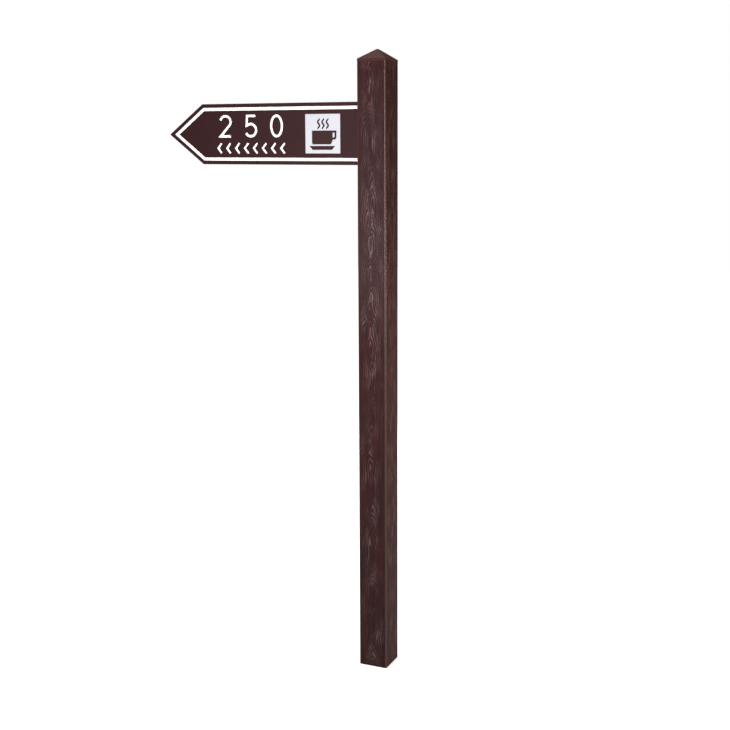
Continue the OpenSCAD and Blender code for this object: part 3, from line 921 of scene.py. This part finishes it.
@dataclass
class SoftenedSolid:
    """Copy of a solid with its seams merged and its edges rounded as a real one's are."""

    node: str
    slot: str
    edge: float
    segments: int = 2
    flat_degrees: float = 1.0
    rounded_degrees: float = 30.0

    def build(self, finish: Material) -> None:
        """Builds and dresses the copy, and puts it in place of its solid.

        Args:
            finish: Material of the copy.
        """
        mesh = merged_copy(self.node)
        flat = math.radians(self.flat_degrees)
        bmesh.ops.dissolve_limit(
            mesh, angle_limit=flat, verts=mesh.verts, edges=mesh.edges, delimit={"NORMAL"}
        )
        limit = math.radians(self.rounded_degrees)
        edges = []
        for edge in mesh.edges:
            if len(edge.link_faces) == 2 and edge.is_convex and edge.calc_face_angle(0.0) > limit:
                edges.append(edge)
        bmesh.ops.bevel(
            mesh,
            geom=edges,
            offset=self.edge,
            offset_type="OFFSET",
            segments=self.segments,
            profile=0.5,
            affect="EDGES",
            clamp_overlap=True,
            loop_slide=True,
        )
        piece = close_mesh(f"soft_{self.node}", mesh, finish)
        shade(piece)
        hand_over(piece, [self.node])


@dataclass
class BlindRivets:
    """Row of blind rivets round the rear of the board, set by Geometry Nodes."""

    radius: float = 0.0032
    height: float = 0.00096
    shank: float = 0.0016
    grip: float = 0.0036
    collar: float = 0.0004
    rim_share: float = 0.25
    steps: int = 20

    def places(self) -> list[Point3]:
        """Finds the middle of each rivet from the solids of the rivets.

        Returns:
            Places on the rear face of the board.
        """
        mesh = merged_copy("back_rivets")
        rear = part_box("back_sheet")[1].y
        seen = set()
        places = []
        for start in mesh.verts:
            if start in seen:
                continue
            island = [start]
            seen.add(start)
            for vertex in island:
                for edge in vertex.link_edges:
                    other = edge.other_vert(vertex)
                    if other not in seen:
                        seen.add(other)
                        island.append(other)
            xs = [vertex.co.x for vertex in island]
            zs = [vertex.co.z for vertex in island]
            places.append(((min(xs) + max(xs)) / 2, rear, (min(zs) + max(zs)) / 2))
        mesh.free()
        return places

    def rivet(self) -> Piece:
        """Builds one rivet: a domed head with a dimple, a shank and its bulb.

        Returns:
            Object with the rivet, its head looking along +Y.
        """
        profile = [
            (self.shank * 0.4, -self.grip - self.shank * 1.5),
            (self.shank * 1.3, -self.grip - self.shank),
            (self.shank * 1.5, -self.grip - self.collar),
            (self.shank * 1.4, -self.grip),
            (self.shank, -self.grip),
            (self.shank, 0.0),
            (self.radius, 0.0),
            (self.radius, self.height * self.rim_share),
        ]
        for degrees in (20, 40, 60):
            angle = math.radians(degrees)
            rise = self.rim_share + (1 - self.rim_share) * math.sin(angle)
            profile.append((self.radius * math.cos(angle), self.height * rise))
        profile += [(self.radius * 0.36, self.height), (self.radius * 0.3, self.height * 0.55)]
        mesh = bmesh.new()
        lathe(mesh, profile, self.steps, facing_rear(0.0, 0.0, 0.0))
        return close_mesh("blind_rivet", mesh)

    def tree(self) -> Tree:
        """Builds the tree that sets one rivet on each point.

        Returns:
            The tree, with inputs Rivet and Finish.
        """
        kinds = {"Places": "Geometry", "Rivet": "Object", "Finish": "Material"}
        tree, given = open_tree("rivet_row", kinds)
        shape = add_node(tree, "GeometryNodeObjectInfo", {"Object": given["Rivet"]}).outputs["Geometry"]
        points = add_node(tree, "GeometryNodeMeshToPoints", {0: given["Places"]})
        placed = add_node(tree, "GeometryNodeInstanceOnPoints", {0: points, "Instance": shape})
        return close_tree(tree, placed, given["Finish"])

    def build(self, finish: Material) -> None:
        """Builds and dresses the rivets, and puts them in place of their solid.

        Args:
            finish: Material of the rivets.
        """
        data = bpy.data.meshes.new("rivet_places")
        data.from_pydata(self.places(), [], [])
        piece = link_mesh("blind_rivets", data)
        rivet = self.rivet()
        put_on(self.tree(), piece, {"Rivet": rivet, "Finish": finish})
        make_plain(piece, finish)
        bpy.data.objects.remove(rivet)
        shade(piece)
        hand_over(piece, ["back_rivets"])


@dataclass
class Stroke:
    """One stroke of film: the points of its middle line in X and Z, in metres."""

    points: list[Point2]
    closed: bool = False
    taper: float = 0.0

    def shares(self) -> list[float]:
        """Gives the width at each point as a share of the stroke's own.

        Returns:
            More than one at a corner, so that the mitre keeps the width, and less
            than one near the ends of a tapered stroke.
        """
        count = len(self.points)
        shares = []
        for index in range(count):
            share = 1.0
            if self.closed or 0 < index < count - 1:
                here = Vector(self.points[index])
                before = (here - Vector(self.points[index - 1])).normalized()
                after = (Vector(self.points[(index + 1) % count]) - here).normalized()
                share = math.sqrt(2 / max(1 + before.dot(after), 0.2))
            if self.taper:
                along = index / (count - 1)
                share *= 1 - self.taper * abs(2 * along - 1) ** 3
            shares.append(share)
        return shares


@dataclass
class FilmStrokes:
    """Film cut in strokes of one width, drawn along their lines by Geometry Nodes."""

    name: str
    width: float
    strokes: list[Stroke]
    level: float

    @staticmethod
    def tree() -> Tree:
        """Builds the tree that sweeps a flat strip along each line and thickens it.

        Returns:
            The tree, with inputs Width, Thickness, Level and Finish.
        """
        known = bpy.data.node_groups.get("film_stroke")
        if known is not None:
            return known
        kinds = {"Lines": "Geometry", "Width": "Float", "Thickness": "Float", "Level": "Float"}
        tree, given = open_tree("film_stroke", {**kinds, "Finish": "Material"})
        share = add_node(tree, "GeometryNodeInputNamedAttribute", {"Name": "share"}, data_type="FLOAT")
        curve = add_node(tree, "GeometryNodeMeshToCurve", {0: given["Lines"]})
        flat = add_node(tree, "GeometryNodeSetCurveNormal", {0: curve}, mode="Z_UP")
        half = add_node(tree, MATH, {0: given["Width"], 1: 0.5}, operation="MULTIPLY")
        minus = add_node(tree, MATH, {0: half, 1: -1.0}, operation="MULTIPLY")
        start, end = (add_node(tree, JOIN_XYZ, {0: x}) for x in (minus, half))
        profile = add_node(tree, "GeometryNodeCurvePrimitiveLine", {0: start, 1: end})
        strip = add_node(tree, "GeometryNodeCurveToMesh", {0: flat, 1: profile, "Scale": share})
        values = {0: strip, "Offset Scale": given["Thickness"], "Individual": False}
        raised = add_node(tree, "GeometryNodeExtrudeMesh", values)
        backing = add_node(tree, "GeometryNodeFlipFaces", {0: strip})
        both = add_node(tree, "GeometryNodeJoinGeometry", {0: raised})
        tree.links.new(backing.outputs[0], both.inputs[0])
        closed = add_node(tree, "GeometryNodeMergeByDistance", {0: both, "Distance": 1e-6})
        level = add_node(tree, JOIN_XYZ, {1: given["Level"]})
        values = {0: closed, "Translation": level, "Rotation": (math.pi / 2, 0.0, 0.0)}
        upright = add_node(tree, "GeometryNodeTransform", values)
        return close_tree(tree, upright, given["Finish"])

    def build(self, finish: Material) -> None:
        """Builds and dresses the film, and hands it over.

        Args:
            finish: Material of the film.
        """
        vertices: list[Point3] = []
        edges: list[tuple[int, int]] = []
        shares: list[float] = []
        for stroke in self.strokes:
            first = len(vertices)
            vertices += [(x, z, 0.0) for x, z in stroke.points]
            edges += [(index, index + 1) for index in range(first, len(vertices) - 1)]
            if stroke.closed:
                edges.append((len(vertices) - 1, first))
            shares += stroke.shares()
        data = bpy.data.meshes.new(self.name)
        data.from_pydata(vertices, edges, [])
        data.attributes.new("share", "FLOAT", "POINT").data.foreach_set("value", shares)
        piece = link_mesh(self.name, data)
        values = {"Width": self.width, "Thickness": FILM_THICKNESS, "Level": self.level}
        put_on(self.tree(), piece, {**values, "Finish": finish})
        make_plain(piece, finish)
        hand_over(piece)


def arc(centre: Point2, radius: Point2, start: float, end: float, steps: int) -> list[Point2]:
    """Gives points along an arc.

    Args:
        centre: Middle of the arc in X and Z.
        radius: Radius along X and along Z.
        start: First angle in degrees, counter-clockwise from +X.
        end: Last angle in degrees.
        steps: Number of steps.

    Returns:
        Points from the first angle to the last.
    """
    points = []
    for step in range(steps + 1):
        angle = math.radians(start + (end - start) * step / steps)
        points.append((centre[0] + radius[0] * math.cos(angle), centre[1] + radius[1] * math.sin(angle)))
    return points


def rounded_corners(corners: Sequence[Point3], steps: int = 6) -> list[Point2]:
    """Rounds the corners of an outline.

    Args:
        corners: X, Z and corner radius, counter-clockwise.
        steps: Steps in each round corner.

    Returns:
        Points of the outline.
    """
    points = []
    for index, (x, z, radius) in enumerate(corners):
        if radius <= 0:
            points.append((x, z))
            continue
        here = Vector((x, z))
        before = (Vector(corners[index - 1][:2]) - here).normalized()
        after = (Vector(corners[(index + 1) % len(corners)][:2]) - here).normalized()
        half = before.angle(after) / 2
        reach = radius / math.tan(half)
        middle = here + (before + after).normalized() * (radius / math.sin(half))
        first = here + before * reach - middle
        last = here + after * reach - middle
        turn = first.angle_signed(last)
        for step in range(steps + 1):
            spoke = first.copy()
            spoke.rotate(Matrix.Rotation(-turn * step / steps, 2))
            points.append((middle.x + spoke.x, middle.y + spoke.y))
    return points


@dataclass
class FilmPlates:
    """Film cut in plates: each has the loop of its outline, then those of its windows."""

    name: str
    level: float
    plates: list[list[list[Point2]]]

    def build(self, finish: Material) -> None:
        """Builds and dresses the film, and hands it over.

        Args:
            finish: Material of the film.
        """
        mesh = bmesh.new()
        for loops in self.plates:
            skins = []
            for y in (self.level, self.level - FILM_THICKNESS):
                skins.append([mesh.verts.new((x, y, z)) for loop in loops for x, z in loop])
            back, front = skins
            for a, b, c in tessellate_polygon([[Vector(point) for point in loop] for loop in loops]):
                mesh.faces.new((back[a], back[b], back[c]))
                mesh.faces.new((front[c], front[b], front[a]))
            start = 0
            for loop in loops:
                for step in range(len(loop)):
                    here = start + step
                    after = start + (step + 1) % len(loop)
                    mesh.faces.new((back[here], back[after], front[after], front[here]))
                start += len(loop)
        bmesh.ops.recalc_face_normals(mesh, faces=mesh.faces)
        hand_over(close_mesh(self.name, mesh, finish))


@dataclass
class SignFace:
    """Everything on the front of the board: line, figure, number and chevrons.

    The corners of the cup, its handle's window and its saucer are given in shares of
    the square's side, from its top left corner, each with the radius of its rounding.
    """

    front: float
    line_inset: float = 0.0175
    line_width: float = 0.010
    square_side: float = 0.126
    square_corner: float = 0.0015
    square_middle: Point2 = (-0.191, 1.778)
    digit_height: float = 0.0745
    digit_width: float = 0.048
    digit_stroke: float = 0.0079
    digit_middles: Point3 = (-0.556, -0.458, -0.361)
    digit_foot: float = 1.767
    two_bowl: float = 0.28
    five_waist: float = 0.56
    five_bowl: float = 1.08
    chevron_stroke: float = 0.0064
    chevron_height: float = 0.033
    chevron_depth: float = 0.42
    chevron_level: float = 1.7315
    chevron_from: float = -0.5865
    chevron_to: float = -0.3315
    chevron_count: int = 8
    cup_body: tuple[Point3, ...] = (
        (0.19, 0.42, 0.0), (0.19, 0.77, 0.05), (0.735, 0.77, 0.05), (0.785, 0.66, 0.02),
        (0.785, 0.65, 0.0), (0.86, 0.65, 0.035), (0.893, 0.6, 0.03), (0.893, 0.42, 0.0),
    )
    cup_window: tuple[Point3, ...] = (
        (0.785, 0.475, 0.0), (0.785, 0.595, 0.0), (0.825, 0.595, 0.015), (0.84, 0.57, 0.01),
        (0.84, 0.475, 0.0),
    )
    saucer: tuple[Point3, ...] = (
        (0.115, 0.81, 0.0), (0.205, 0.91, 0.02), (0.763, 0.91, 0.02), (0.853, 0.81, 0.0),
    )
    steam_stroke: float = 0.0056
    steam_across: Point3 = (0.385, 0.51, 0.635)
    steam_top: float = 0.115
    steam_height: float = 0.265
    steam_sway: float = 0.026
    steam_taper: float = 0.35
    steam_steps: int = 16

    def border(self) -> FilmStrokes:
        """Draws the line inside the board's edge, open at the post.

        Returns:
            The line.
        """
        low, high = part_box("front_sheet")
        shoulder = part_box("top_rail")[0].x
        middle = (low.z + high.z) / 2
        lean = math.atan2(high.z - middle, shoulder - low.x)
        tip = low.x + self.line_inset / math.sin(lean)
        bend = shoulder + self.line_inset * math.tan(lean / 2)
        top = high.z - self.line_inset
        foot = low.z + self.line_inset
        points = [(high.x, foot), (bend, foot), (tip, middle), (bend, top), (high.x, top)]
        return FilmStrokes("border_line", self.line_width, [Stroke(points)], self.front)

    def digits(self) -> FilmStrokes:
        """Draws the three plain digits of a distance in metres.

        Returns:
            The digits.
        """
        half = (self.digit_width - self.digit_stroke) / 2
        foot = self.digit_foot + self.digit_stroke / 2
        top = self.digit_foot + self.digit_height - self.digit_stroke / 2
        height = top - foot
        two, five, nought = self.digit_middles
        bowl = height * self.two_bowl
        curve = arc((two, top - bowl), (half, bowl), 165, -35, 16)
        strokes = [Stroke(curve + [(two - half, foot), (two + half, foot)])]
        waist = foot + height * self.five_waist
        bowl = (waist - foot) / 2 * self.five_bowl
        flag = [(five + half * 0.86, top), (five - half * 0.72, top), (five - half * 0.82, waist - 0.002)]
        curve = arc((five - half * 0.05, foot + bowl), (half * 1.02, bowl), 118, -150, 20)
        strokes.append(Stroke(flag + curve))
        curve = arc((nought, (top + foot) / 2), (half, height / 2), 0, 350, 35)
        strokes.append(Stroke(curve, closed=True))
        return FilmStrokes("distance_digits", self.digit_stroke, strokes, self.front)

    def chevrons(self) -> FilmStrokes:
        """Draws the row of small chevrons that points the same way as the board.

        Returns:
            The row.
        """
        depth = self.chevron_height * self.chevron_depth
        run = self.chevron_to - self.chevron_from - depth
        strokes = []
        for index in range(self.chevron_count):
            tip = self.chevron_from + run * index / (self.chevron_count - 1)
            points = []
            for x, rise in ((tip + depth, 0.5), (tip, 0.0), (tip + depth, -0.5)):
                points.append((x, self.chevron_level + self.chevron_height * rise))
            strokes.append(Stroke(points))
        return FilmStrokes("chevron_row", self.chevron_stroke, strokes, self.front)

    def on_square(self, across: float, down: float) -> Point2:
        """Turns shares of the square, from its top left corner, into X and Z."""
        x, z = self.square_middle
        return x + (across - 0.5) * self.square_side, z + (0.5 - down) * self.square_side

    def square(self) -> FilmPlates:
        """Draws the white square behind the cup.

        Returns:
            The square.
        """
        corners = [self.on_square(*corner) for corner in ((0, 1), (1, 1), (1, 0), (0, 0))]
        outline = rounded_corners([(x, z, self.square_corner) for x, z in corners])
        return FilmPlates("figure_square", self.front, [[outline]])

    def cup(self) -> FilmPlates:
        """Draws the traffic-sign figure of a cup on its saucer.

        Returns:
            The figure, on the white square.
        """
        shapes = []
        for corners in (self.cup_body, self.cup_window, self.saucer):
            placed = []
            for across, down, radius in corners:
                placed.append((*self.on_square(across, down), radius * self.square_side))
            shapes.append(rounded_corners(placed))
        body, window, saucer = shapes
        return FilmPlates("cup_and_saucer", self.front - FILM_THICKNESS, [[body, window], [saucer]])

    def steam(self) -> FilmStrokes:
        """Draws the three wisps of steam over the cup.

        Returns:
            The wisps, on the white square.
        """
        strokes = []
        for across in self.steam_across:
            points = []
            for step in range(self.steam_steps + 1):
                along = step / self.steam_steps
                sway = self.steam_sway * math.cos(3 * math.pi * along)
                points.append(self.on_square(across + sway, self.steam_top + self.steam_height * along))
            strokes.append(Stroke(points, taper=self.steam_taper))
        return FilmStrokes("steam_wisps", self.steam_stroke, strokes, self.front - FILM_THICKNESS)

    def build(self) -> None:
        """Builds and dresses all the film on the front sheet."""
        for finish, films in (
            (WHITE_FILM, (self.border(), self.digits(), self.chevrons())),
            (REFLECTIVE_SHEET, (self.square(),)),
            (BROWN_INK, (self.cup(), self.steam())),
        ):
            for film in films:
                film.build(finish.material())


@dataclass
class FingerBoard:
    """The board: two sheets on a mitred frame, with its rivets and its gasket."""

    sheet_edge: float = 0.0003
    seal_edge: float = 0.0004

    def build(self) -> None:
        """Builds and dresses what shows of the board, and dresses the rest."""
        coat = POWDER_COAT.material()
        for node in ("front_sheet", "back_sheet"):
            SoftenedSolid(node, "board_paint", self.sheet_edge).build(coat)
        dress(coat, "top_rail", "bottom_rail", "upper_point_rail", "lower_point_rail", "end_stile")
        packers = ("tongue_packer_front", "tongue_packer_rear", "tongue_rivets")
        dress(MILL_ALUMINIUM.material(), "centre_stiffener", "corner_keys", *packers)
        dress(FOAM_TAPE.material(), "bonding_tape")
        SoftenedSolid("board_seal", "gasket", self.seal_edge).build(RUBBER.material())
        BlindRivets().build(LACQUER.material())
        SignFace(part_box("front_sheet")[0].y).build()


@dataclass
class Core:
    """Steel core with its foot, collars, receivers and the tongue's fixing."""

    steel: tuple[str, ...] = ("steel_core", "foot_plate", "board_tongue")
    fixings: tuple[str, ...] = ("weld_nuts", "tongue_bolts", "tongue_washers")
    collars: tuple[str, ...] = ("lower_spacer", "middle_spacer", "upper_spacer", "top_spacer")
    blocks: tuple[str, ...] = ("core_end_plug", "receiver_front", "receiver_rear")

    def build(self) -> None:
        """Dresses the solids inside the sleeve."""
        dress(GALVANISED.material(), *self.steel)
        dress(ZINC_PLATED.material(), *self.fixings)
        dress(BLACK_NYLON.material(), *self.collars, *self.blocks)


@dataclass
class Post:
    """Everything that shows of the post: sleeve, cap, screws and plugs."""

    grain: GrainField = GrainField()
    cap_edge: float = 0.0012
    screw_edge: float = 0.0001
    plug_edge: float = 0.0004

    def build(self) -> None:
        """Builds and dresses the pieces of the post."""
        PostSleeve().build(self.grain, WoodPlastic().material(self.grain))
        SoftenedSolid("post_cap", "cap", self.cap_edge, 3).build(MOULDED_CAP.material())
        for node in ("cap_screws", "sleeve_screws"):
            SoftenedSolid(node, "screw_paint", self.screw_edge, 1).build(LACQUER.material())
        SoftenedSolid("access_plugs", "plug", self.plug_edge).build(BROWN_PLUG.material())


@dataclass(frozen=True)
class Softbox:
    """Large soft lamp of the studio, turned towards a level of the post's axis."""

    name: str
    place: Point3
    aim: float
    size: Point2
    power: float
    colour: Point3
    spread: float = 180.0

    def build(self) -> None:
        """Puts the lamp into the scene."""
        lamp = bpy.data.lights.new(self.name, "AREA")
        lamp.color = self.colour
        lamp.shape = "RECTANGLE"
        lamp.size, lamp.size_y = self.size
        lamp.energy = self.power
        lamp.spread = math.radians(self.spread)
        holder = bpy.data.objects.new(self.name, lamp)
        holder.location = self.place
        towards = Vector((0.0, 0.0, self.aim)) - Vector(self.place)
        holder.rotation_euler = towards.to_track_quat("-Z", "Y").to_euler()
        bpy.context.scene.collection.objects.link(holder)


@dataclass
class Studio:
    """Plain pale floor, soft light and the camera at the photograph's angle."""

    floor_radius: float = 14.0
    floor_drop: float = 0.0003
    backdrop: float = 1.0
    room: float = 0.25
    focal_px: float = 1109.54
    shift_px: Point2 = (60.0, -30.0)
    sensor_mm: float = 36.0
    stand: Point3 = (1.4876, -3.2689, 1.6952)
    yaw: float = 0.3844
    pitch: float = -0.1564
    roll: float = 0.0043
    overhead: float = 2.3
    overhead_angle: float = 60.0
    overhead_lean: float = -0.28
    lamps: tuple[Softbox, ...] = (
        Softbox("key_softbox", (-1.2, -2.74, 1.95), 1.75, (0.7, 0.4), 0.36, (0.8, 0.95, 1.0), 60.0),
        Softbox("middle_softbox", (-1.2, -2.74, 1.55), 1.55, (0.7, 0.4), 0.33, (0.94, 0.94, 0.96), 60.0),
        Softbox("low_softbox", (-1.2, -2.74, 1.11), 1.37, (0.7, 0.48), 1.15, (1.0, 0.9, 0.92), 60.0),
        Softbox("edge_softbox", (0.05, -3.1, 1.55), 1.55, (0.3, 1.8), 12.0, (1.0, 0.89, 0.91), 50.0),
        Softbox("side_softbox", (3.2, 0.3, 1.4), 1.4, (1.2, 1.2), 42.0, (1.0, 0.81, 0.77)),
        Softbox("flank_softbox", (2.6, 0.9, 1.15), 1.15, (0.5, 0.5), 2.7, (1.0, 0.8, 0.75), 40.0),
        Softbox("rear_softbox", (-0.9, 3.4, 1.5), 1.3, (1.6, 1.8), 60.0, (1.0, 0.95, 0.92)),
    )

    def camera(self) -> None:
        """Makes the camera and sets it as the scene's."""
        data = bpy.data.cameras.new("camera")
        data.sensor_width = self.sensor_mm
        data.lens = self.focal_px / IMAGE_SIDE * self.sensor_mm
        data.shift_x = -self.shift_px[0] / IMAGE_SIDE
        data.shift_y = self.shift_px[1] / IMAGE_SIDE
        data.clip_end = 100.0
        out = math.cos(self.pitch)
        forward = Vector((-math.sin(self.yaw) * out, math.cos(self.yaw) * out, math.sin(self.pitch)))
        level = Vector((math.cos(self.yaw), math.sin(self.yaw), 0.0))
        upright = level.cross(forward)
        right = level * math.cos(self.roll) + upright * math.sin(self.roll)
        up = upright * math.cos(self.roll) - level * math.sin(self.roll)
        turned = Matrix((right, up, -forward)).transposed().to_4x4()
        holder = bpy.data.objects.new("camera", data)
        holder.matrix_world = Matrix.Translation(self.stand) @ turned
        bpy.context.scene.collection.objects.link(holder)
        bpy.context.scene.camera = holder

    def floor(self) -> None:
        """Lays the round floor just under the foot of the post."""
        mesh = bmesh.new()
        bmesh.ops.create_circle(mesh, cap_ends=True, segments=96, radius=self.floor_radius)
        bmesh.ops.translate(mesh, verts=mesh.verts, vec=(0.0, 0.0, -self.floor_drop))
        close_mesh("studio_floor", mesh, PAPER.material())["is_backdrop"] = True

    def walls(self) -> None:
        """Lights the room in even grey behind a white backdrop."""
        world = bpy.data.worlds.new("studio")
        world.use_nodes = True
        tree = world.node_tree
        tree.nodes.clear()
        seen = add_node(tree, "ShaderNodeLightPath").outputs["Is Camera Ray"]
        light = {0: seen}
        for key, strength in ((1, self.room), (2, self.backdrop)):
            values = {"Color": (1.0, 1.0, 1.0, 1.0), "Strength": strength}
            light[key] = add_node(tree, "ShaderNodeBackground", values)
        mixed = add_node(tree, "ShaderNodeMixShader", light)
        add_node(tree, "ShaderNodeOutputWorld", {"Surface": mixed})
        bpy.context.scene.world = world

    def ceiling(self) -> None:
        """Lights the floor evenly from overhead."""
        lamp = bpy.data.lights.new("overhead_light", "SUN")
        lamp.energy = self.overhead
        lamp.angle = math.radians(self.overhead_angle)
        holder = bpy.data.objects.new("overhead_light", lamp)
        holder.rotation_euler = (0.0, self.overhead_lean, 0.0)
        bpy.context.scene.collection.objects.link(holder)

    def build(self) -> None:
        """Builds the studio."""
        self.camera()
        self.floor()
        self.walls()
        self.ceiling()
        for lamp in self.lamps:
            lamp.build()
        bpy.context.scene.view_settings.view_transform = "Standard"


def main(solid_box: tuple[Vector, Vector]) -> None:
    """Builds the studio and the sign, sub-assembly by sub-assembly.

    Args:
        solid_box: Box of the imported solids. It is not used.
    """
    logging.basicConfig(level=logging.INFO, format="%(name)s: %(message)s")
    Studio().build()
    Post().build()
    Core().build()
    FingerBoard().build()


if __name__ == "__main__":
    main(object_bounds())
